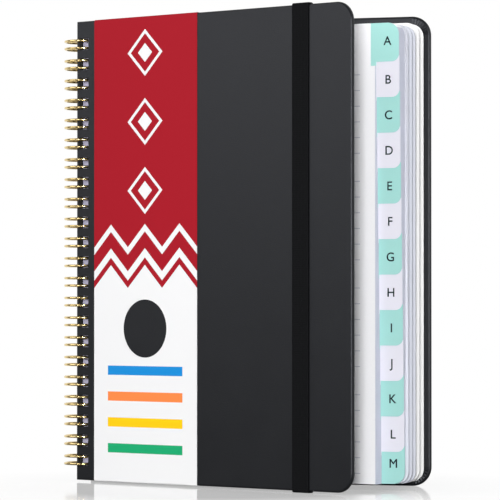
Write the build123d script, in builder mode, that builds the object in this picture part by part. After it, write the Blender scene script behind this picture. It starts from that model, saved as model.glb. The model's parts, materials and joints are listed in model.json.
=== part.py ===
"""Wire-bound address book with stepped index tabs, standing on its lower edge with the front cover ajar.

Millimetres, +Z up.  The back cover lies in the X-Z plane with the binding at -X and the fore edge at +X,
and the front cover faces -Y.  The origin is under the middle of the book, on the surface it stands on.
Every leaf and both covers hang on the wire loops, so each is drawn on a plane through the loops' axis,
turned by the angle at which it stands open.
"""

import os
from math import cos, pi, radians, sin, sqrt

from build123d import *

os.makedirs("parts", exist_ok=True)

# Covers: grey board wrapped in leathercloth, with a card lining inside the turned-in margin
cover_width = 151.0
cover_height = 196.0
cover_corner = 8.0
cover_opening = 23.0
leather_thickness = 0.5
board_thickness = 1.2
lining_thickness = 0.5
turn_in = 4.0
spine_turn_in = 8.0
edge_ease = 0.35

# Wire: one length of plated wire bent into twin loops, three loops to the inch
loop_radius = 8.0
loop_pitch = 25.4 / 3
loop_end_margin = 8.5
wire_diameter = 1.1
pair_spacing = 3.2
bend_radius = 1.0
closing_gap = 0.6
closing_angle = 75.0
wire_sides = 5
ring_facets = 11
turn_facets = 3

# Punched holes, measured from the spine edge of the sheet to the middle of the hole
hole_setback = 4.5
hole_length = 5.2
hole_play = 0.35

# Leaves: a stepped tab leaf for each letter, in two banks, then spare leaves and taller note leaves
front_letters = "ABCDEFGHIJKLM"
rear_groups = ("NOPQRS", "TUVWXYZ")
spare_groups = ("front_spare_leaves", "back_spare_leaves")
note_groups = ("front_note_leaves", "back_note_leaves")
leaf_thickness = 0.15
leaf_gap = 0.07
leaf_corner = 5.0
tab_width = 10.2
tab_corner = 3.2
tab_drop = 1.35
plain_thickness = 0.26
notes_corner = 5.5
head_margin = 5.1
notes_head_margin = 3.4
foot_margin = 2.2
plain_foot_margin = 1.9
fore_edge_margin = 2.6
page_clearance = 0.35
back_clearance = 0.15

# How far the leaves stand open from the back cover, in degrees, front leaf first
first_leaf_angle = 9.5
middle_leaf_angle = 8.35
rear_group_angles = (8.15, 7.9)
spare_group_angles = (6.4, 4.9)
note_group_angles = (2.95, 0.5)

# Elastic loop round the front cover, and the paper sleeve beside the binding
band_width = 8.4
band_thickness = 0.6
band_clearance = 0.1
band_from_spine = 120.6
sleeve_width = 58.3
sleeve_thickness = 0.15
sleeve_from_spine = 10.75

# Depths of the closed book, from the middle of the loops
cover_thickness = leather_thickness + board_thickness + lining_thickness
leaf_pitch = leaf_thickness + leaf_gap
plain_pitch = plain_thickness + leaf_gap
front_count = len(front_letters)
leaf_count = front_count + sum(len(group) for group in rear_groups)
plain_count = len(spare_groups) + len(note_groups)
front_clearance = band_clearance + band_thickness + page_clearance
leaves_depth = leaf_count * leaf_pitch + plain_count * plain_pitch
stack_depth = front_clearance + leaves_depth + back_clearance
inner_face = stack_depth / 2
outer_face = inner_face + cover_thickness
first_leaf_face = inner_face - front_clearance

# Places across the sheets, from the loops' axis: each hole sits where the loops pass through the sheet
cover_hole = (sqrt(loop_radius**2 - inner_face**2) + sqrt(loop_radius**2 - outer_face**2)) / 2
cover_spine = cover_hole - hole_setback
cover_edge = cover_spine + cover_width
leaf_hole = (loop_radius + sqrt(loop_radius**2 - inner_face**2)) / 2
leaf_spine = leaf_hole - hole_setback
leaf_edge = cover_edge - fore_edge_margin

# Heights: the elastic passes under the front cover, so that cover hangs higher than the back one
front_lift = band_thickness + band_clearance
leaf_height = cover_height - head_margin - foot_margin
tab_pitch = leaf_height / front_count
loop_count = int((cover_height - 2 * loop_end_margin) / loop_pitch) + 1
loops_middle = cover_height / 2
hole_height = pair_spacing + wire_diameter + 2 * hole_play

# The loops' axis, placed so that the origin is under the middle of the book's outer box
wire_radius = wire_diameter / 2
loop_reach = loop_radius + wire_radius
swing = radians(cover_opening)
front_reach = cover_edge * sin(swing) + outer_face * cos(swing)
spine_x = (loop_reach - cover_edge) / 2
spine_y = (front_reach - loop_reach) / 2


def sheet_plane(angle):
    """Plane through the loops' axis, for a sheet open by angle: x to the fore edge, y up, z forward."""
    turn = radians(angle)
    return Plane(
        origin=(spine_x, spine_y, 0),
        x_dir=(cos(turn), -sin(turn), 0),
        z_dir=(-sin(turn), -cos(turn), 0),
    )


def punch_holes(middle):
    """Cut the row of binding holes out of the sketch that is being drawn."""
    with Locations((middle, loops_middle)):
        with GridLocations(loop_pitch, loop_pitch, 1, loop_count):
            Rectangle(hole_length, hole_height, mode=Mode.SUBTRACT)


def cover_outline(bottom, inset, spine_inset):
    """Draw the cover's outline, drawn in by the insets, with its two round fore-edge corners."""
    width = cover_width - inset - spine_inset
    height = cover_height - 2 * inset
    with Locations((cover_spine + spine_inset, bottom + inset)):
        outline = Rectangle(width, height, align=(Align.MIN, Align.MIN))
    fillet(outline.vertices().group_by(Axis.X)[-1], cover_corner - inset)


def make_leather(name, plane, side, bottom):
    """Leathercloth wrapped round the board and turned in; side is 1 for the front cover, -1 for the back."""
    with BuildPart() as leather:
        with BuildSketch(plane.offset(side * inner_face)):
            cover_outline(bottom, 0, 0)
            punch_holes(cover_hole)
        extrude(amount=side * cover_thickness)
        across = Axis(plane.origin, plane.z_dir)
        sheets = leather.faces().filter_by(GeomType.PLANE).sort_by(across)
        chamfer(sheets[0].outer_wire().edges() + sheets[-1].outer_wire().edges(), edge_ease)
        with BuildSketch(plane.offset(side * (inner_face + lining_thickness))):
            cover_outline(bottom, leather_thickness, leather_thickness)
        extrude(amount=side * board_thickness, mode=Mode.SUBTRACT)
        with BuildSketch(plane.offset(side * inner_face)):
            cover_outline(bottom, turn_in, spine_turn_in)
        extrude(amount=side * lining_thickness, mode=Mode.SUBTRACT)
    leather.part.label = name
    export_step(leather.part, f"parts/{name}.step")


def make_board(name, plane, side, bottom):
    """Stiff grey board that fills the leathercloth and is punched with it."""
    with BuildPart() as board:
        with BuildSketch(plane.offset(side * (inner_face + lining_thickness))):
            cover_outline(bottom, leather_thickness, leather_thickness)
            punch_holes(cover_hole)
        extrude(amount=side * board_thickness)
    board.part.label = name
    export_step(board.part, f"parts/{name}.step")


def make_lining(name, plane, side, bottom):
    """Card lining, flush with the turned-in leathercloth round it."""
    with BuildPart() as lining:
        with BuildSketch(plane.offset(side * inner_face)):
            cover_outline(bottom, turn_in, spine_turn_in)
        extrude(amount=side * lining_thickness)
    lining.part.label = name
    export_step(lining.part, f"parts/{name}.step")


front_plane = sheet_plane(cover_opening)
back_plane = sheet_plane(0)

make_leather("front_cover_leather", front_plane, 1, front_lift)
make_board("front_cover_board", front_plane, 1, front_lift)
make_lining("front_cover_lining", front_plane, 1, front_lift)
make_leather("back_cover_leather", back_plane, -1, 0)
make_board("back_cover_board", back_plane, -1, 0)
make_lining("back_cover_lining", back_plane, -1, 0)


def leaf_rectangle(head, foot):
    """Draw a leaf's full rectangle, between its head and foot margins."""
    with Locations((leaf_spine, foot)):
        Rectangle(leaf_edge - leaf_spine, cover_height - head - foot, align=(Align.MIN, Align.MIN))


def tab_leaf_outline(sketch, step):
    """Draw a leaf that is full width down to the foot of its tab, and cut back below it."""
    leaf_rectangle(head_margin, foot_margin)
    steps_below = front_count - 1 - step
    below = steps_below * tab_pitch - tab_drop
    if steps_below > 0:
        with Locations((leaf_edge, foot_margin)):
            Rectangle(tab_width, below, align=(Align.MAX, Align.MIN), mode=Mode.SUBTRACT)
    fillet(sketch.vertices().group_by(Axis.X)[-1].sort_by(Axis.Y)[-1], leaf_corner)
    tab_foot = sketch.vertices().group_by(Axis.X)[-1].sort_by(Axis.Y)[0]
    fillet(tab_foot, tab_corner if steps_below > 0 else leaf_corner)
    punch_holes(leaf_hole)


# Front bank: a leaf for each letter, each standing a little less open than the one before
fan_step = (first_leaf_angle - middle_leaf_angle) / (front_count - 1)
for step, letter in enumerate(front_letters):
    leaf_plane = sheet_plane(first_leaf_angle - step * fan_step)
    with BuildPart() as tab_leaf:
        with BuildSketch(leaf_plane.offset(first_leaf_face - step * leaf_pitch)) as leaf_sketch:
            tab_leaf_outline(leaf_sketch, step)
        extrude(amount=-leaf_thickness)
    tab_leaf.part.label = f"tab_leaf_{letter.lower()}"
    export_step(tab_leaf.part, f"parts/tab_leaf_{letter.lower()}.step")

# Rear bank: the same steps again, in groups of leaves that lie together
step = 0
for group, angle in zip(rear_groups, rear_group_angles):
    group_plane = sheet_plane(angle)
    group_face = first_leaf_face - (front_count + step) * leaf_pitch
    with BuildPart() as tab_leaves:
        for layer in range(len(group)):
            with BuildSketch(group_plane.offset(group_face - layer * leaf_pitch)) as leaf_sketch:
                tab_leaf_outline(leaf_sketch, step + layer)
            is_last = layer == len(group) - 1
            extrude(amount=-leaf_thickness if is_last else -leaf_pitch)
    step += len(group)
    group_name = f"tab_leaves_{group[0]}_to_{group[-1]}".lower()
    tab_leaves.part.label = group_name
    export_step(tab_leaves.part, f"parts/{group_name}.step")

# Spare leaves and note leaves, plain, each in two groups; the last lies against the back cover
spares = [(name, angle, head_margin, leaf_corner) for name, angle in zip(spare_groups, spare_group_angles)]
notes = [(name, angle, notes_head_margin, notes_corner) for name, angle in zip(note_groups, note_group_angles)]
first_plain_face = first_leaf_face - leaf_count * leaf_pitch
for layer, (name, angle, head, corner) in enumerate(spares + notes):
    with BuildPart() as plain_leaves:
        with BuildSketch(sheet_plane(angle).offset(first_plain_face - layer * plain_pitch)) as plain_sketch:
            leaf_rectangle(head, plain_foot_margin)
            fillet(plain_sketch.vertices().group_by(Axis.X)[-1], corner)
            punch_holes(leaf_hole)
        extrude(amount=-plain_thickness)
    plain_leaves.part.label = name
    export_step(plain_leaves.part, f"parts/{name}.step")


def section_across_cover(from_spine):
    """Plane square to the front cover's width, at a place along it: x forward, y up, z to the spine."""
    return Plane(
        origin=front_plane.origin + front_plane.x_dir * (cover_spine + from_spine),
        x_dir=front_plane.z_dir,
        z_dir=-front_plane.x_dir,
    )


def loop_round_cover(gap, thickness):
    """Draw the section of a loop that goes round the front cover, a gap away from it."""
    inner_depth = cover_thickness + 2 * gap
    inner_height = cover_height + 2 * gap
    with Locations((inner_face + cover_thickness / 2, front_lift + cover_height / 2)):
        Rectangle(inner_depth + 2 * thickness, inner_height + 2 * thickness)
        Rectangle(inner_depth, inner_height, mode=Mode.SUBTRACT)


# Elastic loop, which keeps the book shut
with BuildPart() as elastic_band:
    with BuildSketch(section_across_cover(band_from_spine + band_width)):
        loop_round_cover(band_clearance, band_thickness)
    extrude(amount=band_width)
elastic_band.part.label = "elastic_band"
export_step(elastic_band.part, "parts/elastic_band.step")

# Paper sleeve, glued into a loop
with BuildPart() as paper_sleeve:
    with BuildSketch(section_across_cover(sleeve_from_spine + sleeve_width)):
        loop_round_cover(0, sleeve_thickness)
    extrude(amount=sleeve_width)
paper_sleeve.part.label = "paper_sleeve"
export_step(paper_sleeve.part, "parts/paper_sleeve.step")

# Twin-loop wire: each finger starts behind the back cover, goes round through its row of holes, turns over
# at its tip beside its own root and comes back, and a short bridge leads on to the next finger
root_angle = radians(closing_angle)
ring_span = 2 * pi - (bend_radius + wire_diameter + closing_gap + pair_spacing / 2) / loop_radius
tip_angle = root_angle - ring_span
axis_foot = Vector(spine_x, spine_y, 0)


def on_ring(angle, height, along=0.0):
    """Point of the ring at an angle from +X and at a height, moved along the ring's tangent."""
    x = loop_radius * cos(angle) - along * sin(angle)
    y = loop_radius * sin(angle) + along * cos(angle)
    return axis_foot + Vector(x, y, height)


def finger_points(middle):
    """Points along one finger whose middle is at this height, from its lower bridge to its upper one."""
    leg = pair_spacing / 2
    turns = [root_angle - ring_span * facet / ring_facets for facet in range(ring_facets + 1)]
    points = [on_ring(root_angle, middle - leg - bend_radius, bend_radius)]
    points += [on_ring(turn, middle - leg) for turn in turns]
    for facet in range(1, turn_facets):
        turn = pi * facet / turn_facets
        points.append(on_ring(tip_angle, middle - leg * cos(turn), -leg * sin(turn)))
    points += [on_ring(turn, middle + leg) for turn in reversed(turns)]
    points.append(on_ring(root_angle, middle + leg + bend_radius, bend_radius))
    return points


def least_gap(points, apart):
    """Least room between stretches of wire that lie further from each other along it than apart."""
    samples = []
    for start, end in zip(points, points[1:]):
        samples += [start + (end - start) * (part / 4) for part in range(4)]
    travelled = [0.0]
    for start, end in zip(samples, samples[1:]):
        travelled.append(travelled[-1] + (end - start).length)
    least = loop_radius
    for first, near in enumerate(samples):
        for second in range(first + 1, len(samples)):
            if travelled[second] - travelled[first] > apart:
                least = min(least, (samples[second] - near).length)
    return least - wire_diameter


first_loop = loops_middle - loop_pitch * (loop_count - 1) / 2
wire_points = []
for finger in range(loop_count):
    wire_points += finger_points(first_loop + finger * loop_pitch)
two_fingers = wire_points[: 2 * len(wire_points) // loop_count]
print("least gap of the wire to itself, mm:", round(least_gap(two_fingers, pi * pair_spacing), 3))

with BuildPart() as wire_binding:
    with BuildLine() as wire_path:
        Polyline(*wire_points)
    with BuildSketch(Plane(origin=wire_path.line @ 0, z_dir=wire_path.line % 0)):
        RegularPolygon(wire_radius, wire_sides)
    sweep(path=wire_path.line, transition=Transition.RIGHT)
wire_binding.part.label = "wire_binding"
export_step(wire_binding.part, "parts/wire_binding.step")
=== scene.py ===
# %% [markdown]
# # A wire-bound address book
#
# The book stands on its lower edge with the front cover ajar. Every measured solid comes from the packed
# frame, in metres: +Z is up along the binding, +X runs from the binding to the fore edge of the back cover,
# and the front cover faces -Y. Here the flat solids get their real surfaces: leathercloth that is wrapped
# and pleated round the boards, round gold wire, woven elastic, a printed paper sleeve and ruled leaves
# with lettered tabs.

# %% Load the measured book
import json
from math import atan2, cos, pi, radians, sin

import bmesh
import bpy
from mathutils import Matrix, Vector


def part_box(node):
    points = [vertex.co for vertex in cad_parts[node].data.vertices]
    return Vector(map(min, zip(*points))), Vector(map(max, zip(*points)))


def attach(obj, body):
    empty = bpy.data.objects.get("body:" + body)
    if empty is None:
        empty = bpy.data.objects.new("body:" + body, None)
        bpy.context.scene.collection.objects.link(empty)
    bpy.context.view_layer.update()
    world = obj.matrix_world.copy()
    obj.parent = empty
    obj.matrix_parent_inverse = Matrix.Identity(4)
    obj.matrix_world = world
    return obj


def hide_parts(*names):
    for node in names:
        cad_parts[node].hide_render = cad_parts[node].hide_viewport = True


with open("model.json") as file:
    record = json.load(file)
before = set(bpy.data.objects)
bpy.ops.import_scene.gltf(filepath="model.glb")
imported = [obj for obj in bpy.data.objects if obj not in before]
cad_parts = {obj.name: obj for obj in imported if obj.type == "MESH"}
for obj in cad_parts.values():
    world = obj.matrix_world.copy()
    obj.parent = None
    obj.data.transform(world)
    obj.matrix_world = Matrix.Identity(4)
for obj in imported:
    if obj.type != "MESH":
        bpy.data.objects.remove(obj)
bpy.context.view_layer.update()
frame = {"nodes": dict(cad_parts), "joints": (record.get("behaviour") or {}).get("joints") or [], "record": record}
MM = 0.001

# %% [markdown]
# ## Sheets on a common axis
#
# Both covers and every leaf hang on the same wire loops, so each stands at its own angle about one upright
# axis. It is easiest to draw a sheet flat, as if the book were shut, and to stand it open afterwards. Flat
# coordinates are: x across the sheet from the loops' axis, y to the back, z up. The axis and the angles are
# read from the frame's hinge and from the couplings that fan the leaves.

# %% Axis and opening angles
hinge = next(joint for joint in frame["joints"] if joint["name"] == "front_cover_hinge")
axis_foot = Vector((hinge["pos_m"][0], hinge["pos_m"][1], 0))
cover_opening = -hinge["range_deg"][0]
open_angle = {"back_cover": 0.0, "front_cover": cover_opening, "elastic": cover_opening}
for coupling in frame["record"]["behaviour"]["couplings"]:
    open_angle[coupling["joint"].removesuffix("_hinge")] = coupling["ratio"] * cover_opening


def stand_open(body):
    """Matrix that takes a sheet drawn flat to where its body stands."""
    return Matrix.Translation(axis_foot) @ Matrix.Rotation(-radians(open_angle[body]), 4, "Z")


def flat_box(node, body):
    """Lowest and highest corner of a CAD node in its sheet's flat coordinates."""
    back_to_flat = stand_open(body).inverted()
    corners = [back_to_flat @ vertex.co for vertex in frame["nodes"][node].data.vertices]
    return Vector(map(min, zip(*corners))), Vector(map(max, zip(*corners)))


print("front cover stands open by", round(cover_opening, 2), "degrees; sheets:", len(open_angle))

# %% [markdown]
# ## Working by hand, in code
#
# A few small helpers stand in for the hands of a modeller. Operators act on what is selected, so one helper
# picks vertices, edges or faces by their place, and another makes a piece the only one at work. One adds a
# modifier and applies it. The last stands a finished piece in its place, gives it its material and lets it
# ride on its body.

# %% Picking by place
NEAR = 0.01 * MM


def pick(piece, kind, rule):
    """In edit mode, select only the vertices, edges or faces whose middle passes the rule."""
    bpy.ops.mesh.select_mode(type=kind)
    bpy.ops.mesh.select_all(action="DESELECT")
    mesh = bmesh.from_edit_mesh(piece.data)
    for part in {"VERT": mesh.verts, "EDGE": mesh.edges, "FACE": mesh.faces}[kind]:
        corners = [part] if kind == "VERT" else part.verts
        middle = sum((corner.co for corner in corners), Vector()) / len(corners)
        part.select_set(bool(rule(middle)))
    mesh.select_flush_mode()
    bmesh.update_edit_mesh(piece.data)


print("places count as the same within, mm:", round(NEAR / MM, 3))

# %% Modifiers and placing
SMOOTH_ANGLE = 35


def select_only(piece):
    """Make a piece the only one that operators act on."""
    bpy.ops.object.select_all(action="DESELECT")
    piece.select_set(True)
    bpy.context.view_layer.objects.active = piece


def apply_modifier(piece, kind, **settings):
    """Add one modifier with its settings and apply it."""
    select_only(piece)
    bpy.ops.object.modifier_add(type=kind)
    modifier = piece.modifiers[-1]
    for name, value in settings.items():
        setattr(modifier, name, value)
    bpy.ops.object.modifier_apply(modifier=modifier.name)


def set_in_place(piece, name, body, material, nodes=(), smooth=SMOOTH_ANGLE):
    """Stand a piece that was drawn flat in its place on its body, and give it its finish."""
    piece.name = name
    piece.data.name = name
    piece.matrix_world = stand_open(body) @ piece.matrix_world
    select_only(piece)
    bpy.ops.object.transform_apply(location=True, rotation=True, scale=True)
    if smooth:
        bpy.ops.object.shade_smooth_by_angle(angle=radians(smooth))
        apply_modifier(piece, "WEIGHTED_NORMAL", keep_sharp=True)
    piece.data.materials.clear()
    piece.data.materials.append(material)
    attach(piece, body)
    if nodes:
        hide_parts(*nodes)


print("edges stay sharp from, degrees:", SMOOTH_ANGLE)

# %% [markdown]
# ## Materials
#
# Each finish starts from what the real one is. Colours are written as sRGB hex values, the way they are
# read off a picture, and one function turns them into the linear values that a shader wants. A second
# function adds a node with its settings and links, and the next two open and close a material.

# %% Colours and nodes


def colour(hex_code):
    """Linear RGBA of an sRGB hex value."""
    channels = [int(hex_code[i : i + 2], 16) / 255 for i in (1, 3, 5)]
    linear = [c / 12.92 if c <= 0.04045 else ((c + 0.055) / 1.055) ** 2.4 for c in channels]
    return (*linear, 1.0)


def add(tree, kind, inputs=None, **settings):
    """Add one shader node; inputs are values or sockets to link, by the input's name or number."""
    made = tree.nodes.new("ShaderNode" + kind)
    for name, value in settings.items():
        setattr(made, name, value)
    for name, value in (inputs or {}).items():
        if isinstance(value, bpy.types.NodeSocket):
            tree.links.new(value, made.inputs[name])
        else:
            made.inputs[name].default_value = value
    return made


def new_material(name):
    """An empty material and its node tree."""
    material = bpy.data.materials.new(name)
    material.use_nodes = True
    material.node_tree.nodes.clear()
    return material, material.node_tree


def coat(tree, inputs):
    """Close a material with its surface, from what goes into it."""
    surface = add(tree, "BsdfPrincipled", inputs)
    add(tree, "OutputMaterial", {"Surface": surface.outputs["BSDF"]})


print("the hex value 808080 is, in linear light:", round(colour("#808080")[0], 3))

# %% [markdown]
# Print and ruling have to follow the paper whatever angle it stands at. So one function gives a material
# the flat coordinates of its sheet in millimetres, and a few more tell where on the sheet a layer of colour
# lies, and lay it over what is there.

# %% Places and layers on a sheet


def sheet_coordinates(tree, body):
    """Sockets for the place on a sheet's flat drawing, and for its x, y and z alone, in millimetres."""
    to_flat = stand_open(body).inverted()
    turned = {"Location": to_flat.translation / MM, "Rotation": to_flat.to_euler(), "Scale": (1 / MM,) * 3}
    place = add(tree, "TexCoord").outputs["Object"]
    flat = add(tree, "Mapping", {"Vector": place, **turned}).outputs["Vector"]
    split = add(tree, "SeparateXYZ", {"Vector": flat})
    return flat, split.outputs["X"], split.outputs["Y"], split.outputs["Z"]


def all_of(tree, mask, *others):
    """Socket that is 1 where every one of the given sockets is 1."""
    for other in others:
        mask = add(tree, "Math", {0: mask, 1: other}, operation="MULTIPLY").outputs[0]
    return mask


def between(tree, value, low, high):
    """Socket that is 1 where value lies between low and high, and 0 elsewhere."""
    above = add(tree, "Math", {0: value, 1: low}, operation="GREATER_THAN").outputs[0]
    below = add(tree, "Math", {0: value, 1: high}, operation="LESS_THAN").outputs[0]
    return all_of(tree, above, below)


def in_box(tree, across, height, box):
    """Socket that is 1 inside a box on a sheet: left, right, bottom and top, in millimetres."""
    left, right, bottom, top = box
    return all_of(tree, between(tree, across, left, right), between(tree, height, bottom, top))


def layered(tree, ground, *layers):
    """Colour of a ground with layers over it; a layer is its amount, from 0 to 1, and its colour."""
    # A Mix node for colours takes them at its inputs 6 and 7, and gives the result at its output 2.
    for amount, over in layers:
        ground = add(tree, "Mix", {0: amount, 6: ground, 7: over}, data_type="RGBA").outputs[2]
    return ground


print("sheets that a print can follow:", len(open_angle))

# %% [markdown]
# ### Leathercloth
#
# The covers are wrapped in polyurethane-coated cloth, embossed with a fine leather grain and satin rather
# than glossy. The grain is cells of about 0.7 mm with creases between them; broader, weaker noise keeps
# large areas from looking like moulded plastic.

# %% Leathercloth
GRAIN_MM = 0.7
CLOUD_MM = 16.7
CLOUD_SHARE = 0.35
leathercloth, tree = new_material("polyurethane_leathercloth_satin")
place = add(tree, "TexCoord").outputs["Object"]
cells = add(tree, "TexVoronoi", {"Vector": place, "Scale": 1 / (GRAIN_MM * MM)}, feature="DISTANCE_TO_EDGE")
creases = add(tree, "MapRange", {"Value": cells.outputs["Distance"], "From Min": 0.0, "From Max": 0.25})
clouds = add(tree, "TexNoise", {"Vector": place, "Scale": 1 / (CLOUD_MM * MM), "Detail": 4.0}).outputs["Fac"]
grain = add(tree, "Math", {0: clouds, 1: CLOUD_SHARE, 2: creases.outputs["Result"]}, operation="MULTIPLY_ADD")
relief = add(tree, "Bump", {"Height": grain.outputs[0], "Strength": 0.16, "Distance": 0.08 * MM})
worn = add(tree, "MapRange", {"Value": clouds, "To Min": 0.36, "To Max": 0.44})
coat(
    tree,
    {
        "Base Color": layered(tree, colour("#111214"), (clouds, colour("#161719"))),
        "Roughness": worn.outputs["Result"],
        "Normal": relief.outputs["Normal"],
        "Specular IOR Level": 0.32,
        "Specular Tint": colour("#f2f5ff"),
    },
)
print(leathercloth.name, "grain, mm:", GRAIN_MM)

# %% [markdown]
# ### Board, lining card and ink
#
# Grey board is pressed pulp, with darker flecks; it shows only in the walls of the punched holes. Its colour is
# written nearly black, darker than the board's own grey, as painted shade for those deep walls. The lining is
# black card, and the letters' ink lies in the fibres of the paper. All are matt, and differ mainly in colour and
# in the size of their fibres.

# %% Board, lining and ink


def pulp(name, dark, light, fibre_mm, roughness):
    """Matt material of pressed fibres, of a given size, between two colours."""
    material, tree = new_material(name)
    place = add(tree, "TexCoord").outputs["Object"]
    scale = 1 / (fibre_mm * MM)
    noise = add(tree, "TexNoise", {"Vector": place, "Scale": scale, "Detail": 5.0, "Roughness": 0.65})
    fibres = noise.outputs["Fac"]
    relief = add(tree, "Bump", {"Height": fibres, "Strength": 0.2, "Distance": 0.05 * MM})
    coat(
        tree,
        {
            "Base Color": layered(tree, colour(dark), (fibres, colour(light))),
            "Roughness": roughness,
            "Normal": relief.outputs["Normal"],
            "Specular IOR Level": 0.15,
        },
    )
    return material


# The board's near-black colour is its own grey with painted shade for the walls of the holes.
board_grey_with_painted_shade = pulp("grey_board_pressed_pulp_with_painted_shade", "#2b2a28", "#3d3b38", fibre_mm=1.5, roughness=0.9)
lining_card = pulp("black_lining_card", "#2a2a2c", "#353537", fibre_mm=0.9, roughness=0.75)
letter_ink = pulp("dark_green_printing_ink", "#0f272b", "#142e33", fibre_mm=0.4, roughness=0.7)
print("matt materials:", board_grey_with_painted_shade.name, lining_card.name, letter_ink.name)

# %% [markdown]
# ### Plated wire
#
# The binding is steel wire with a polished gold plating. A metal keeps the default IOR; drawing the wire
# leaves faint streaks, so the roughness varies a little.

# %% Plated wire
STREAK_MM = 1.11
gold_wire, tree = new_material("gold_plated_steel_wire")
place = add(tree, "TexCoord").outputs["Object"]
noise = add(tree, "TexNoise", {"Vector": place, "Scale": 1 / (STREAK_MM * MM), "Detail": 3.0})
streaks = noise.outputs["Fac"]
polish = add(tree, "MapRange", {"Value": streaks, "To Min": 0.1, "To Max": 0.24})
coat(
    tree,
    {
        "Base Color": layered(tree, colour("#dcc07e"), (streaks, colour("#edd7a0"))),
        "Roughness": polish.outputs["Result"],
        "Metallic": 1.0,
    },
)
print(gold_wire.name, "streaks, mm:", STREAK_MM)

# %% [markdown]
# ### Woven elastic
#
# The closing band is braided polyester over rubber threads: narrow ribs run along it, and a fine weft
# crosses them. Ribs of 0.75 mm are real; the weft is drawn at 0.9 mm, coarser than the real thread, so
# that it shows at all.

# %% Woven elastic
RIB_MM = 0.75
WEFT_MM = 0.9
WEFT_SHARE = 0.35
elastic_weave, tree = new_material("black_braided_elastic")
_, across, _, height = sheet_coordinates(tree, "elastic")
rib = add(tree, "Math", {0: across, 1: RIB_MM / 2}, operation="PINGPONG").outputs[0]
weft = add(tree, "Math", {0: height, 1: WEFT_MM / 2}, operation="PINGPONG").outputs[0]
weave = add(tree, "Math", {0: weft, 1: WEFT_SHARE, 2: rib}, operation="MULTIPLY_ADD").outputs[0]
level = add(tree, "MapRange", {"Value": weave, "From Min": 0.0, "From Max": 0.5}).outputs["Result"]
relief = add(tree, "Bump", {"Height": level, "Strength": 0.55, "Distance": 0.15 * MM})
coat(
    tree,
    {
        "Base Color": layered(tree, colour("#09090a"), (level, colour("#131416"))),
        "Roughness": 0.75,
        "Normal": relief.outputs["Normal"],
        "Specular IOR Level": 0.06,
    },
)
print(elastic_weave.name, "ribs, mm:", RIB_MM)

# %% [markdown]
# ### Leaf paper
#
# The leaves are uncoated writing paper: white with a trace of blue, ruled in pale grey in blocks of lines, and
# printed with a block of colour on the tab. The print runs a little further in than the tab, so that no white edge
# shows where the next leaf is cut back. Lavender-grey strips at the fore edge, beside the cut-back part and along
# the binding margin are painted shade, where the leaves lie in the shade of their neighbours and of the cover. One
# function makes the paper of any leaf from its body, its tab and its strips of painted shade.

# %% Ruling
RULE_PITCH_MM = 6.44
RULE_HALF_MM = 0.14
RULE_INK = "#c6c9d3"
BLOCK_PITCH_MM = 43.75
BLOCK_LINES_MM = 35.5
BLOCK_LEAD_MM = 3.0
FIRST_RULE_MM = 169.95


def rules(tree, height):
    """Socket that is 1 on the ruled lines, which stand in blocks down the page."""
    below = add(tree, "Math", {0: FIRST_RULE_MM + BLOCK_LEAD_MM, 1: height}, operation="SUBTRACT").outputs[0]
    in_block = add(tree, "Math", {0: below, 1: BLOCK_PITCH_MM}, operation="FLOORED_MODULO").outputs[0]
    from_rule = add(tree, "Math", {0: in_block, 1: BLOCK_LEAD_MM}, operation="SUBTRACT").outputs[0]
    wave = add(tree, "Math", {0: from_rule, 1: RULE_PITCH_MM / 2}, operation="PINGPONG").outputs[0]
    on_line = between(tree, wave, -RULE_PITCH_MM, RULE_HALF_MM)
    return all_of(tree, on_line, between(tree, from_rule, -RULE_PITCH_MM / 2, BLOCK_LINES_MM))


print("rules in a block:", int(BLOCK_LINES_MM / RULE_PITCH_MM) + 1)

# %% Leaf paper
FIBRE_MM = 0.8
MOTTLE = 0.06
WRITING_STOCK = ("#f6f6fa", "#fcfcfe")
NOTE_STOCK = ("#ececec", "#f3f3f3")


def leaf_paper(name, body, ruled, tab=None, ink=None, strips=(), stock=WRITING_STOCK):
    """Ruled paper with an inked tab and strips of painted shade; a strip is its box on the sheet and its tint."""
    material, tree = new_material(name)
    flat, across, _, height = sheet_coordinates(tree, body)
    fibres = add(tree, "TexNoise", {"Vector": flat, "Scale": 1 / FIBRE_MM, "Detail": 4.0}).outputs["Fac"]
    dark, light = stock
    shade = layered(tree, colour(dark), (fibres, colour(light)))
    lines = all_of(tree, rules(tree, height), in_box(tree, across, height, ruled))
    shade = layered(tree, shade, (lines, colour(RULE_INK)))
    # Each strip lays painted shade over the paper.
    for box, tint in strips:
        shade = layered(tree, shade, (in_box(tree, across, height, box), colour(tint)))
    if tab:
        mottle = layered(tree, colour(ink), (fibres, colour("#ffffff")))
        print_on_tab = layered(tree, colour(ink), (MOTTLE, mottle))
        shade = layered(tree, shade, (in_box(tree, across, height, tab), print_on_tab))
    relief = add(tree, "Bump", {"Height": fibres, "Strength": 0.08, "Distance": 0.03 * MM})
    coat(
        tree,
        {
            "Base Color": shade,
            "Roughness": 0.68,
            "Normal": relief.outputs["Normal"],
            "Specular IOR Level": 0.15,
        },
    )
    return material


print("paper fibres, mm:", FIBRE_MM)

# %% [markdown]
# ### Printed sleeve
#
# The sleeve is coated paper, offset printed in one red and a few bright colours. The design is plain
# geometry: a zigzag border between a red field and a white one, a column of diamonds above it, and four
# bars of colour below. A colour ramp with hard steps prints the whole border from one distance, and the
# bars from another.

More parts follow.
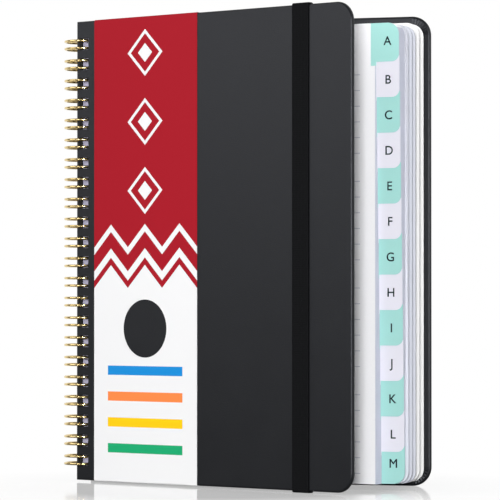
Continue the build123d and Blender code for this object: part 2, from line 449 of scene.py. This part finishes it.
# %% Sleeve: border and bars
SLEEVE_WHITE = "#e3e3e4"
SLEEVE_RED = "#9d1825"
PRINT_SPAN_MM = 200.0
sleeve_low, sleeve_high = flat_box("paper_sleeve", "front_cover")
sleeve_width_mm = (sleeve_high.x - sleeve_low.x) / MM
BORDER_TEETH = 3
BORDER_MM = {
    0: SLEEVE_WHITE, 82: SLEEVE_RED, 85: SLEEVE_WHITE, 89: SLEEVE_RED, 96: SLEEVE_WHITE, 99: SLEEVE_RED,
}
BAR_INKS = ("#1fa06a", "#f2c315", "#ee8446", "#1d86cc")
BAR_FOOT_MM = 12
BAR_PITCH_MM = 11
BAR_HEIGHT_MM = 4
BARS_MARGIN_MM = 8.0
BARS_TOP_MM = 52.0


def hard_steps(tree, value, steps):
    """Colour that changes in hard steps at the given distances."""
    share = add(tree, "Math", {0: value, 1: PRINT_SPAN_MM}, operation="DIVIDE")
    ramp = add(tree, "ValToRGB", {"Fac": share.outputs[0]})
    ramp.color_ramp.interpolation = "CONSTANT"
    stops = ramp.color_ramp.elements
    stops.remove(stops[1])
    for distance, hex_code in steps.items():
        stop = stops[0] if distance == 0 else stops.new(distance / PRINT_SPAN_MM)
        stop.position = distance / PRINT_SPAN_MM
        stop.color = colour(hex_code)
    return ramp.outputs["Color"]


bar_steps_mm = {0: SLEEVE_WHITE}
for number, ink in enumerate(BAR_INKS):
    foot = BAR_FOOT_MM + number * BAR_PITCH_MM
    bar_steps_mm |= {foot: ink, foot + BAR_HEIGHT_MM: SLEEVE_WHITE}

sleeve_print, tree = new_material("coated_paper_offset_print")
flat, across, depth, height = sheet_coordinates(tree, "front_cover")
from_left = add(tree, "Math", {0: across, 1: sleeve_low.x / MM}, operation="SUBTRACT").outputs[0]
from_foot = add(tree, "Math", {0: height, 1: sleeve_low.z / MM}, operation="SUBTRACT").outputs[0]
half_tooth_mm = sleeve_width_mm / (2 * BORDER_TEETH)
tooth = add(tree, "Math", {0: from_left, 1: half_tooth_mm}, operation="PINGPONG").outputs[0]
zigzag = add(tree, "Math", {0: from_foot, 1: tooth}, operation="SUBTRACT").outputs[0]
fields = hard_steps(tree, zigzag, BORDER_MM)
bars_box_mm = (BARS_MARGIN_MM, sleeve_width_mm - BARS_MARGIN_MM, BARS_MARGIN_MM, BARS_TOP_MM)
bars = in_box(tree, from_left, from_foot, bars_box_mm)
fields = layered(tree, fields, (bars, hard_steps(tree, from_foot, bar_steps_mm)))
print("sleeve width, mm:", round(sleeve_width_mm, 1), "bars:", len(BAR_INKS))

# %% Sleeve: diamonds
FIRST_DIAMOND_MM = 123.0
DIAMOND_PITCH_MM = 29.0
DIAMOND_COUNT = 3
DIAMOND_MM = 9.0
DIAMOND_HALF_LINE_MM = 0.9
DIAMOND_CORE_MM = 4.0
from_middle = add(tree, "Math", {0: from_left, 1: sleeve_width_mm / 2}, operation="SUBTRACT").outputs[0]
sideways = add(tree, "Math", {0: from_middle}, operation="ABSOLUTE").outputs[0]
from_first = add(tree, "Math", {0: from_foot, 1: FIRST_DIAMOND_MM}, operation="SUBTRACT").outputs[0]
upwards = add(tree, "Math", {0: from_first, 1: DIAMOND_PITCH_MM / 2}, operation="PINGPONG").outputs[0]
reach = add(tree, "Math", {0: sideways, 1: upwards}, operation="ADD").outputs[0]
outline = between(tree, reach, DIAMOND_MM - DIAMOND_HALF_LINE_MM, DIAMOND_MM + DIAMOND_HALF_LINE_MM)
core = between(tree, reach, -DIAMOND_CORE_MM, DIAMOND_CORE_MM)
diamond = add(tree, "Math", {0: outline, 1: core}, operation="MAXIMUM").outputs[0]
column = between(tree, from_first, -DIAMOND_PITCH_MM / 2, (DIAMOND_COUNT - 0.5) * DIAMOND_PITCH_MM)
fields = layered(tree, fields, (all_of(tree, diamond, column), colour(SLEEVE_WHITE)))
print("diamonds:", DIAMOND_COUNT, "pitch, mm:", DIAMOND_PITCH_MM)

# %% Sleeve: paper
cover_middle_mm = (sleeve_low.y + sleeve_high.y) / 2 / MM
in_front = add(tree, "Math", {0: depth, 1: cover_middle_mm}, operation="LESS_THAN").outputs[0]
fibres = add(tree, "TexNoise", {"Vector": flat, "Scale": 1 / FIBRE_MM, "Detail": 3.0}).outputs["Fac"]
plain = layered(tree, colour("#ececec"), (fibres, colour("#f6f6f6")))
relief = add(tree, "Bump", {"Height": fibres, "Strength": 0.04, "Distance": 0.03 * MM})
coat(
    tree,
    {
        "Base Color": layered(tree, plain, (in_front, fields)),
        "Roughness": 0.5,
        "Normal": relief.outputs["Normal"],
        "Specular IOR Level": 0.06,
    },
)
print(sleeve_print.name, "is printed on the front and plain behind")

# %% [markdown]
# ## The covers
#
# Each cover is a board in a wrap of leathercloth. The wrap is modelled as it is made: the outer skin is a
# rectangle with two round corners, drawn out to the cover's thickness, with its rims rounded; the inside
# is inset to leave the turned-in margin, and opened. At the round corners the cloth has to gather, so every
# other point of the margin sinks there, which folds it into pleats. A Solidify modifier gives the cloth its
# thickness, inwards, which leaves the board its room, and a Boolean with a row of blocks punches the
# binding holes.

# %% Binding holes
LOOP_PITCH = 25.4 / 3 * MM
LOOP_COUNT = 22
HOLE_SETBACK = 4.5 * MM
HOLE_LENGTH = 5.2 * MM
HOLE_HEIGHT = 5.0 * MM
PUNCH_DEPTH = 10.0 * MM
wire_low, wire_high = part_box("wire_binding")
first_loop = (wire_low.z + wire_high.z) / 2 - LOOP_PITCH * (LOOP_COUNT - 1) / 2


def punch_row(piece, hole_across, depth):
    """Cut the row of binding holes through a sheet that is drawn flat."""
    bpy.ops.object.select_all(action="DESELECT")
    bpy.ops.mesh.primitive_cube_add(size=1, location=(hole_across, depth, first_loop))
    punch = bpy.context.object
    punch.scale = (HOLE_LENGTH, PUNCH_DEPTH, HOLE_HEIGHT)
    bpy.ops.object.transform_apply(location=True, rotation=True, scale=True)
    apply_modifier(
        punch, "ARRAY", count=LOOP_COUNT, use_relative_offset=False, use_constant_offset=True,
        constant_offset_displace=(0, 0, LOOP_PITCH),
    )
    apply_modifier(piece, "BOOLEAN", operation="DIFFERENCE", solver="EXACT", object=punch)
    bpy.data.objects.remove(punch)


print("holes in a row:", LOOP_COUNT, "lowest at, mm:", round(first_loop / MM, 2))

# %% Skin of a cover
CORNER = 8.0 * MM
CORNER_STEPS = 16
RIM_ROUND = 0.8 * MM
RIM_STEPS = 4
ROUND_PROFILE = 0.5


def round_skin(low, high, outer, inner):
    """Closed skin of a cover, drawn flat, with round corners and rims; it is left in edit mode."""
    size = high - low
    middle = (low + high) / 2
    bpy.ops.object.select_all(action="DESELECT")
    bpy.ops.mesh.primitive_plane_add(size=1, location=(middle.x, outer, middle.z), rotation=(pi / 2, 0, 0))
    skin = bpy.context.object
    skin.scale = (size.x, size.z, 1)
    bpy.ops.object.transform_apply(location=True, rotation=True, scale=True)
    bpy.ops.object.mode_set(mode="EDIT")
    pick(skin, "VERT", lambda at: at.x > high.x - NEAR)
    bpy.ops.mesh.bevel(affect="VERTICES", offset=CORNER, segments=CORNER_STEPS, profile=ROUND_PROFILE)
    bpy.ops.mesh.select_all(action="SELECT")
    bpy.ops.mesh.extrude_region_move(TRANSFORM_OT_translate={"value": (0, inner - outer, 0)})
    pick(skin, "EDGE", lambda at: min(abs(at.y - outer), abs(at.y - inner)) < NEAR)
    bpy.ops.mesh.bevel(affect="EDGES", offset=RIM_ROUND, segments=RIM_STEPS, profile=ROUND_PROFILE)
    return skin


print("corner radius, mm:", round(CORNER / MM, 1), "rim radius, mm:", round(RIM_ROUND / MM, 1))

# %% Turned-in margin and pleats
PLEAT = 0.24 * MM
PLEAT_START = 0.15 * MM
PLEAT_LINE = RIM_ROUND + PLEAT_START


def turn_in(skin, low, high, inner, lining_low, lining_high):
    """Inset the margin that is turned in: narrow at three edges, and broad at the spine."""
    margin = high.x - lining_high.x
    pick(skin, "FACE", lambda at: abs(at.y - inner) < NEAR)
    bpy.ops.mesh.inset(thickness=PLEAT_START)
    bpy.ops.mesh.inset(thickness=margin - PLEAT_LINE)
    pick(skin, "VERT", lambda at: abs(at.y - inner) < NEAR and abs(at.x - low.x - margin) < NEAR)
    bpy.ops.transform.translate(value=(lining_low.x - low.x - margin, 0, 0))


def gather_corners(skin, low, high, inner, outward):
    """Sink every other point of the margin round the corners, and open the face over the board."""
    mesh = bmesh.from_edit_mesh(skin.data)
    middle_z = (low.z + high.z) / 2
    inside = [face for face in mesh.faces if abs(face.calc_center_median().y - inner) < NEAR]
    over_board = max(inside, key=lambda face: face.calc_area())
    sunk = {}
    for vertex in mesh.verts:
        out_x = vertex.co.x - (high.x - CORNER)
        out_z = abs(vertex.co.z - middle_z) - ((high.z - low.z) / 2 - CORNER)
        reach = (out_x**2 + out_z**2) ** 0.5
        on_margin = abs(vertex.co.y - inner) < NEAR and reach < CORNER - PLEAT_LINE + NEAR
        if on_margin and min(out_x, out_z) > -NEAR:
            step = round(atan2(out_z, out_x) / (pi / 2) * CORNER_STEPS)
            if step % 2:
                sunk[vertex] = reach / CORNER
    for vertex, share in sunk.items():
        vertex.co.y += outward * PLEAT * share
    bmesh.ops.delete(mesh, geom=[over_board], context="FACES_ONLY")
    bmesh.update_edit_mesh(skin.data)
    return len(sunk)


print("pleat depth, mm:", round(PLEAT / MM, 2))

# %% Leathercloth wraps
CLOTH = 0.5 * MM
FOLD_ANGLE = 23


def wrap_cover(name, body, outward):
    """Leathercloth of one cover; outward is -1 for the front cover and 1 for the back cover, along y."""
    low, high = flat_box(f"{body}_leather", body)
    outer, inner = (high.y, low.y) if outward > 0 else (low.y, high.y)
    piece = round_skin(low, high, outer, inner)
    turn_in(piece, low, high, inner, *flat_box(f"{body}_lining", body))
    sunk = gather_corners(piece, low, high, inner, outward)
    bpy.ops.mesh.select_all(action="SELECT")
    bpy.ops.mesh.normals_make_consistent(inside=False)
    bpy.ops.object.mode_set(mode="OBJECT")
    apply_modifier(piece, "SOLIDIFY", thickness=CLOTH, offset=-1, use_even_offset=True)
    punch_row(piece, low.x + HOLE_SETBACK, (low.y + high.y) / 2)
    set_in_place(piece, name, body, leathercloth, [f"{body}_leather"], FOLD_ANGLE)
    print(name, "faces:", len(piece.data.polygons), "pleated points:", sunk)


wrap_cover("front_cover_wrap", "front_cover", -1)
wrap_cover("back_cover_wrap", "back_cover", 1)
for body in ("front_cover", "back_cover"):
    frame["nodes"][f"{body}_board"].material_slots[0].material = board_grey_with_painted_shade
    frame["nodes"][f"{body}_lining"].material_slots[0].material = lining_card

# %% [markdown]
# ## Loops round the front cover
#
# The elastic and the paper sleeve are both flat strips that go right round the front cover. Each starts as
# a block of the loop's outer size; its two ends are taken away, its four folds are rounded, and Solidify
# gives it its thickness inwards. The elastic also has soft edges, and the sleeve has a round window through
# which the cover's colour shows.

# %% Elastic and sleeve
FOLD_STEPS = 5
EDGE_STEPS = 3
EDGE_ANGLE = 60
WINDOW_RADIUS = 12.2 * MM
WINDOW_HEIGHT = 65.0 * MM
WINDOW_CUT = 1.0 * MM
WINDOW_SIDES = 64


def cut_window(piece, middle):
    """Cut the round window through the front of a strip that is drawn flat."""
    bpy.ops.object.select_all(action="DESELECT")
    bpy.ops.mesh.primitive_cylinder_add(
        vertices=WINDOW_SIDES, radius=WINDOW_RADIUS, depth=WINDOW_CUT, location=middle,
        rotation=(pi / 2, 0, 0),
    )
    cutter = bpy.context.object
    apply_modifier(piece, "BOOLEAN", operation="DIFFERENCE", solver="EXACT", object=cutter)
    bpy.data.objects.remove(cutter)


def strip_round_cover(name, node, body, material, thickness, fold, soft_edge=0, window=False):
    """A strip round the front cover, of the CAD loop's size, with rounded folds."""
    low, high = flat_box(node, body)
    middle = (low + high) / 2
    bpy.ops.object.select_all(action="DESELECT")
    bpy.ops.mesh.primitive_cube_add(size=1, location=middle)
    piece = bpy.context.object
    piece.scale = high - low
    bpy.ops.object.transform_apply(location=True, rotation=True, scale=True)
    bpy.ops.object.mode_set(mode="EDIT")
    pick(piece, "EDGE", lambda at: abs(at.x - middle.x) < NEAR)
    bpy.ops.mesh.bevel(affect="EDGES", offset=fold, segments=FOLD_STEPS, profile=ROUND_PROFILE)
    pick(piece, "FACE", lambda at: min(abs(at.x - low.x), abs(at.x - high.x)) < NEAR)
    bpy.ops.mesh.delete(type="ONLY_FACE")
    bpy.ops.object.mode_set(mode="OBJECT")
    apply_modifier(piece, "SOLIDIFY", thickness=thickness, offset=-1, use_even_offset=True)
    if soft_edge:
        apply_modifier(
            piece, "BEVEL", width=soft_edge, segments=EDGE_STEPS, limit_method="ANGLE",
            angle_limit=radians(EDGE_ANGLE),
        )
    if window:
        cut_window(piece, (middle.x, low.y, low.z + WINDOW_HEIGHT))
    set_in_place(piece, name, body, material, [node])
    print(name, "width, mm:", round((high.x - low.x) / MM, 2), "faces:", len(piece.data.polygons))


strip_round_cover(
    "woven_elastic", "elastic_band", "elastic", elastic_weave,
    thickness=0.6 * MM, fold=0.9 * MM, soft_edge=0.2 * MM,
)
strip_round_cover(
    "printed_sleeve", "paper_sleeve", "front_cover", sleeve_print,
    thickness=0.15 * MM, fold=0.6 * MM, window=True,
)

# %% [markdown]
# ## The twin-loop wire
#
# One length of wire makes all the loops. Each finger starts behind the back cover, goes round through its
# row of holes, turns over at its tip and comes back, and a short bridge leads to the next. A curve with a
# round bevel follows that path, in small steps, and becomes a mesh.

# %% Path of the wire
LOOP_RADIUS = 8.0 * MM
WIRE_RADIUS = 0.55 * MM
LEG = 1.6 * MM
BEND = 1.0 * MM
CLOSING_GAP = 0.6 * MM
ROOT = radians(75)
SPAN = 2 * pi - (BEND + 2 * WIRE_RADIUS + CLOSING_GAP + LEG) / LOOP_RADIUS
RING_STEPS = 40
TIP_STEPS = 8
BEND_STEPS = 4


def on_ring(angle, height, along=0.0):
    """Point at an angle round the loops' axis and a height, moved along the ring's tangent."""
    x = LOOP_RADIUS * cos(angle) - along * sin(angle)
    y = LOOP_RADIUS * sin(angle) + along * cos(angle)
    return axis_foot + Vector((x, y, height))


def finger_path(middle):
    """Points along one finger, from its lower bridge to its upper one."""
    bend = [pi / 2 * step / BEND_STEPS for step in range(BEND_STEPS)]
    rise = [(BEND * cos(turn), LEG + BEND * (1 - sin(turn))) for turn in bend]
    turns = [ROOT - SPAN * step / RING_STEPS for step in range(RING_STEPS + 1)]
    tip = [pi * step / TIP_STEPS for step in range(1, TIP_STEPS)]
    path = [on_ring(ROOT, middle - height, along) for along, height in rise]
    path += [on_ring(turn, middle - LEG) for turn in turns]
    path += [on_ring(ROOT - SPAN, middle - LEG * cos(turn), -LEG * sin(turn)) for turn in tip]
    path += [on_ring(turn, middle + LEG) for turn in reversed(turns)]
    path += [on_ring(ROOT, middle + height, along) for along, height in reversed(rise)]
    return path


wire_path = [at for loop in range(LOOP_COUNT) for at in finger_path(first_loop + loop * LOOP_PITCH)]
wire_length = sum((b - a).length for a, b in zip(wire_path, wire_path[1:]))
print("wire length, m:", round(wire_length, 2), "points:", len(wire_path))

# %% Wire
WIRE_ROUNDNESS = 4
WIRE_SMOOTH_ANGLE = 60
bpy.ops.object.select_all(action="DESELECT")
bpy.ops.curve.primitive_nurbs_path_add()
wire = bpy.context.object
wire.data.splines.clear()
spline = wire.data.splines.new("POLY")
spline.points.add(len(wire_path) - 1)
for point, at in zip(spline.points, wire_path):
    point.co = (*at, 1)
wire.data.bevel_depth = WIRE_RADIUS
wire.data.bevel_resolution = WIRE_ROUNDNESS
wire.data.use_fill_caps = True
bpy.ops.object.convert(target="MESH")
wire = bpy.context.object
wire.matrix_world = stand_open("back_cover").inverted()
set_in_place(
    wire, "twin_loop_wire", "back_cover", gold_wire, ["wire_binding"], WIRE_SMOOTH_ANGLE
)
print("wire faces:", len(wire.data.polygons))

# %% [markdown]
# ## The leaves
#
# Each leaf starts as a copy of its CAD solid, turned flat, and its spine edge is drawn out a little
# towards the loops' axis, to the whole margin that such a leaf has beside its holes. The rear bank lies in
# groups in the CAD; here each of its leaves is a copy of the front leaf with the same step, turned to the
# group's angle and set one bank further back. Its margin is pale.

# %% Print and painted shade on the leaves
FRONT = "abcdefghijklm"
TAB_WIDTH_MM = 10.2
TAB_DROP_MM = 1.35
PRINT_OVERLAP_MM = 2.4
PRINT_BELOW_MM = 1.6
BLEED_MM = 1.0
EDGE_STRIP_MM = 1.2
CUT_STRIP_MM = 0.5
CUT_BLEED_MM = 0.1
BINDING_STRIP_MM = 14.5
# Painted shade: lavender-grey strips along the fore edge and beside the cut-back part, where the leaves lie in
# shade between their neighbours.
EDGE_SHADE_TINT = "#cdd0de"
BINDING_SHADE_TINT = "#b7b4ca"
RULED_LEFT_MM = 16.0
RULED_RIGHT_MM = 17.5
RULED_FOOT_MM = 3.0
RULED_HEAD_MM = 16.0
leaf_low, leaf_high = flat_box("tab_leaf_a", "leaf_a")
tab_pitch = (leaf_high.z - leaf_low.z) / len(FRONT)
edge_mm = leaf_high.x / MM
head_mm = leaf_high.z / MM
print_left_mm = edge_mm - TAB_WIDTH_MM - PRINT_OVERLAP_MM
ruled_mm = (RULED_LEFT_MM, edge_mm - RULED_RIGHT_MM, leaf_low.z / MM + RULED_FOOT_MM, head_mm - RULED_HEAD_MM)
pale_margin_mm = (print_left_mm, edge_mm + BLEED_MM, 0, head_mm + BLEED_MM)
# Painted shade along the binding margin, for the leaf that shows in shade through the cover's holes.
binding_shade_strip = ((0, BINDING_STRIP_MM, 0, head_mm + BLEED_MM), BINDING_SHADE_TINT)


def tab_foot_mm(step):
    """Height of the lower edge of the tab at a step."""
    return (leaf_high.z - (step + 1) * tab_pitch) / MM - TAB_DROP_MM


def tab_block(step):
    """Printed block of the tab at a step: left, right, bottom and top."""
    top = (leaf_high.z - step * tab_pitch) / MM + BLEED_MM
    return print_left_mm, edge_mm + BLEED_MM, tab_foot_mm(step) - PRINT_BELOW_MM, top


def painted_shade_strips(step):
    """Strips of painted shade on a leaf: above its tab, beside the part that is cut back, and at the binding."""
    cut_back = edge_mm - TAB_WIDTH_MM
    above = (edge_mm - EDGE_STRIP_MM, edge_mm + BLEED_MM, tab_foot_mm(step), head_mm + BLEED_MM)
    below = (cut_back - CUT_STRIP_MM, cut_back + CUT_BLEED_MM, 0, tab_foot_mm(step))
    return (above, EDGE_SHADE_TINT), (below, EDGE_SHADE_TINT), binding_shade_strip


print("tab pitch, mm:", round(tab_pitch / MM, 2), "fore edge at, mm:", round(edge_mm, 1))

# %% Leaf with its binding margin
BINDING_REACH = 1.7 * MM
MERGE = 0.001 * MM


def punched_leaf(node, drawn_on, name, body, paper, back=0.0):
    """Copy of a CAD leaf with its whole binding margin, set back by a distance and stood on a body."""
    leaf = bpy.data.objects.new(name, frame["nodes"][node].data.copy())
    bpy.context.collection.objects.link(leaf)
    leaf.matrix_world = Matrix.Translation((0, back, 0)) @ stand_open(drawn_on).inverted()
    select_only(leaf)
    bpy.ops.object.transform_apply(location=True, rotation=True, scale=True)
    bpy.ops.object.mode_set(mode="EDIT")
    bpy.ops.mesh.select_all(action="SELECT")
    bpy.ops.mesh.remove_doubles(threshold=MERGE)
    pick(leaf, "VERT", lambda at: at.x < leaf_low.x + NEAR)
    bpy.ops.transform.translate(value=(-BINDING_REACH, 0, 0))
    bpy.ops.object.mode_set(mode="OBJECT")
    replaced = node if body == drawn_on else f"tab_{body}"
    set_in_place(leaf, name, body, paper, [replaced], smooth=0)


print("binding margin gains, mm:", round(BINDING_REACH / MM, 1))

# %% Front and rear banks
REAR_GROUPS = ("nopqrs", "tuvwxyz")
MINT = "#a7e1db"
PALE = "#ecebf6"
GREY_PALE = "#e6e8f3"
next_low, _ = flat_box("tab_leaf_b", "leaf_b")
leaf_pitch = next_low.y - leaf_low.y
bank = len(FRONT) * leaf_pitch
tab_places = {}
for step, letter in enumerate(FRONT):
    body = f"leaf_{letter}"
    ink, slot = (MINT, "mint_tab_paper") if step % 2 == 0 else (PALE, "pale_tab_paper")
    paper = leaf_paper(f"ruled_paper_{letter}", body, ruled_mm, tab_block(step), ink, painted_shade_strips(step))
    punched_leaf(f"tab_leaf_{letter}", body, f"front_leaf_{letter}", body, paper)
    tab_places[letter] = body, slot, step, leaf_low.y + step * leaf_pitch

for group in REAR_GROUPS:
    body = f"leaves_{group[0]}_to_{group[-1]}"
    slot = "pale_tab_paper"
    for letter in group:
        step = "".join(REAR_GROUPS).index(letter)
        drawn_on = f"leaf_{FRONT[step]}"
        stock_name = f"ruled_paper_{letter}"
        paper = leaf_paper(stock_name, body, ruled_mm, pale_margin_mm, GREY_PALE, [binding_shade_strip])
        punched_leaf(f"tab_{drawn_on}", drawn_on, f"rear_leaf_{letter}", body, paper, bank)
        tab_places[letter] = body, slot, step, leaf_low.y + bank + step * leaf_pitch
print("leaves with tabs:", len(tab_places), "leaf pitch, mm:", round(leaf_pitch / MM, 3))

# %% Spare and note leaves
SPARE_PALE = "#d3d6e0"
for place in ("front", "back"):
    body = f"{place}_spares"
    paper = leaf_paper(f"ruled_paper_{body}", body, ruled_mm, pale_margin_mm, SPARE_PALE)
    punched_leaf(f"{place}_spare_leaves", body, f"{place}_spare_sheets", body, paper)
    body = f"{place}_notes"
    paper = leaf_paper(f"ruled_paper_{body}", body, ruled_mm, stock=NOTE_STOCK)
    punched_leaf(f"{place}_note_leaves", body, f"{place}_note_sheets", body, paper)
    print(place, "spare and note leaves are in place")

# %% [markdown]
# ## Tab letters
#
# Every tab carries its index letter, plain capitals in the middle of the tab. Text is made a mesh before
# it is stood up, and lies a hair in front of the paper, as ink does. A small bevel, flattened, makes the
# strokes as broad as print of this size.

# %% Letters
CAP_HEIGHT = 3.6 * MM
CAP_SHARE = 0.7
FRONT_INSET = 5.1 * MM
REAR_INSET = 6.0 * MM
INK_LIFT = 0.02 * MM
STROKE_GAIN = 0.055 * MM
FLATTEN = 0.1
RISE_ON_END_TABS = {0: 0.6 * MM, len(FRONT) - 1: 1.9 * MM}


def letter_mesh(letter):
    """Flat capital letter, lying in the ground plane and centred on its foot."""
    bpy.ops.object.select_all(action="DESELECT")
    bpy.ops.object.text_add()
    text = bpy.context.object
    text.data.body = letter.upper()
    text.data.size = CAP_HEIGHT / CAP_SHARE
    text.data.align_x = "CENTER"
    text.data.bevel_depth = STROKE_GAIN
    text.data.bevel_resolution = 0
    bpy.ops.object.convert(target="MESH")
    return bpy.context.object


upright = Matrix.Rotation(pi / 2, 4, "X") @ Matrix.Diagonal((1, 1, FLATTEN, 1))
for letter, (body, slot, step, face) in tab_places.items():
    tab_top = leaf_high.z - step * tab_pitch - (TAB_DROP_MM * MM if step else 0)
    tab_foot = max(tab_foot_mm(step) * MM, leaf_low.z)
    tab_middle = (tab_top + tab_foot) / 2 + RISE_ON_END_TABS.get(step, 0)
    across = leaf_high.x - (FRONT_INSET if letter in FRONT else REAR_INSET)
    mark = letter_mesh(letter)
    mark.matrix_world = Matrix.Translation((across, face - INK_LIFT, tab_middle - CAP_HEIGHT / 2)) @ upright
    set_in_place(mark, f"letter_{letter}", body, letter_ink, smooth=0)
print("letters:", len(tab_places))

# %% [markdown]
# ## Floor
#
# The book stands on a polished white surface. To the camera the floor is mostly a mirror, with a little
# matt white, under a veil of pure white that closes away from the book, so that no horizon shows. To other
# rays it is a plain grey floor, so that it doesn't throw more light up than a table would. Only beside and
# behind the binding do mirror rays find it white, because polished wire shows the pale table it stands on.

# %% Floor
FLOOR_REACH = 3.0
FLOOR_DROP = 0.02 * MM
NEAR_VEIL = 0.42
VEIL_START = 0.07
VEIL_END = 0.15
MIRROR_SHARE = 0.8
BINDING_SIDE = (-0.08, -0.12)
BEHIND_BINDING = (0.0, 0.05)
bpy.ops.object.select_all(action="DESELECT")
bpy.ops.mesh.primitive_plane_add(size=2 * FLOOR_REACH, location=(0, 0, -FLOOR_DROP))
floor = bpy.context.object
floor.name = "floor"
floor_white, tree = new_material("polished_white_floor")
place = add(tree, "TexCoord").outputs["Object"]
away = add(tree, "VectorMath", {0: place}, operation="LENGTH").outputs["Value"]
closing = {"From Min": VEIL_START, "From Max": VEIL_END, "To Min": NEAR_VEIL}
veil = add(tree, "MapRange", {"Value": away, **closing})
matt = add(tree, "BsdfDiffuse", {"Color": colour("#f7f7f7")})
mirror = add(tree, "BsdfGlossy", {"Color": colour("#ffffff"), "Roughness": 0.07})
polished = add(tree, "MixShader", {0: MIRROR_SHARE, 1: matt.outputs[0], 2: mirror.outputs[0]})
white = add(tree, "Emission", {"Color": colour("#ffffff"), "Strength": 1.0})
seen = add(tree, "MixShader", {0: veil.outputs["Result"], 1: polished.outputs[0], 2: white.outputs[0]})
print("floor reaches, m:", FLOOR_REACH)

# %% Floor for other rays
rays = add(tree, "LightPath")
spot = add(tree, "SeparateXYZ", {"Vector": place})
beside, behind = [
    add(tree, "MapRange", {"Value": spot.outputs[axis], "From Min": start, "From Max": end}).outputs["Result"]
    for axis, (start, end) in {"X": BINDING_SIDE, "Y": BEHIND_BINDING}.items()
]
in_wire = all_of(tree, beside, behind, rays.outputs["Is Glossy Ray"])
grey = add(tree, "BsdfDiffuse", {"Color": colour("#8c8c8c")})
unseen = add(tree, "MixShader", {0: in_wire, 1: grey.outputs[0], 2: white.outputs[0]})
ground = add(tree, "MixShader", {0: rays.outputs["Is Camera Ray"], 1: unseen.outputs[0], 2: seen.outputs[0]})
add(tree, "OutputMaterial", {"Surface": ground.outputs[0]})
floor.data.materials.append(floor_white)
print(floor_white.name, "nodes:", len(tree.nodes))

# %% [markdown]
# ## White room
#
# Past the book the camera sees pure white, and so does metal that mirrors what is behind the book. To all
# other rays the room is dim, a little brighter overhead, because the lamps do the lighting.

# %% World
WALL_LIGHT = 0.1
CEILING_LIGHT = 0.5
BACKDROP_EDGE = 0.3
world = bpy.data.worlds.new("white_room")
bpy.context.scene.world = world
world.use_nodes = True
tree = world.node_tree
tree.nodes.clear()
towards = add(tree, "SeparateXYZ", {"Vector": add(tree, "TexCoord").outputs["Generated"]})
up = towards.outputs["Z"]
ceiling = add(tree, "MapRange", {"Value": up, "To Min": WALL_LIGHT, "To Max": CEILING_LIGHT})
behind = add(tree, "MapRange", {"Value": towards.outputs["Y"], "From Min": 0.0, "From Max": BACKDROP_EDGE})
rays = add(tree, "LightPath").outputs
bounced = {0: rays["Is Glossy Ray"], 1: rays["Is Transmission Ray"]}
mirrored = add(tree, "Math", bounced, operation="MAXIMUM").outputs[0]
backdrop = all_of(tree, mirrored, behind.outputs["Result"])
white = add(tree, "Math", {0: backdrop, 1: rays["Is Camera Ray"]}, operation="MAXIMUM").outputs[0]
# A Mix node for plain values takes them at its inputs 2 and 3, and gives the result at its output 0.
dim = add(tree, "Mix", {0: mirrored, 2: ceiling.outputs["Result"], 3: WALL_LIGHT}).outputs[0]
strength = add(tree, "Mix", {0: white, 2: dim, 3: 1.0}).outputs[0]
room = add(tree, "Background", {"Color": colour("#ffffff"), "Strength": strength})
add(tree, "OutputWorld", {"Surface": room.outputs[0]})
print(world.name, "strength from", WALL_LIGHT, "at the walls to", CEILING_LIGHT, "overhead")

# %% [markdown]
# ## Lamps
#
# Four soft lamps light the book at a plain level, at which a colour looks about as it is written. A large
# one at the upper left brightens the front cover towards its head. A small key lamp, low and near the
# camera, reaches past the open cover to the leaves and lights the tabs evenly from A to M. One at the left
# of the camera lights the sleeve, and one at the right the rim of the back cover.

# %% Lamps


def soft_lamp(name, place, aim, size, power):
    """A square area lamp at a place, aimed at a point."""
    bpy.ops.object.light_add(type="AREA", location=place)
    lamp = bpy.context.object
    lamp.name = name
    lamp.data.size = size
    lamp.data.energy = power
    lamp.rotation_euler = (Vector(aim) - Vector(place)).to_track_quat("-Z", "Y").to_euler()
    print(name, "watts:", power)


soft_lamp("left_softbox", (-0.84, -0.56, 0.50), (0.0, 0.0, 0.12), size=0.7, power=4.0)
soft_lamp("key_lamp", (0.325, -1.22, 0.17), (0.0, 0.0, 0.08), size=0.18, power=11.7)
soft_lamp("front_softbox", (-0.36, -1.22, 0.36), (0.0, 0.0, 0.15), size=0.22, power=3.0)
soft_lamp("right_lamp", (1.0, -0.56, 0.30), (0.05, 0.0, 0.09), size=0.5, power=3.5)

# %% [markdown]
# ## Camera
#
# The camera stands where the photograph was taken from. A perspective fit of the covers' edges, the tabs
# and the loops gave its place from the loops' axis, its turn and tilt in degrees, and its focal length in
# pixels of a square picture.

# %% Camera
CAMERA_FROM_AXIS = Vector((0.4807, -1.2866, 0.0777))
CAMERA_TURN = 17.51
CAMERA_TILT = 0.89
PICTURE_PIXELS = 500
FOCAL_PIXELS = 3192
SENSOR_MM = 36.0
camera_data = bpy.data.cameras.new("photo_camera")
camera = bpy.data.objects.new("photo_camera", camera_data)
bpy.context.collection.objects.link(camera)
camera.location = axis_foot + CAMERA_FROM_AXIS
camera.rotation_euler = (radians(90 + CAMERA_TILT), 0, radians(CAMERA_TURN))
camera_data.sensor_width = SENSOR_MM
camera_data.lens = SENSOR_MM * FOCAL_PIXELS / PICTURE_PIXELS
bpy.context.scene.camera = camera
bpy.context.scene.view_settings.view_transform = "Standard"
print("focal length, mm:", round(camera_data.lens, 1))
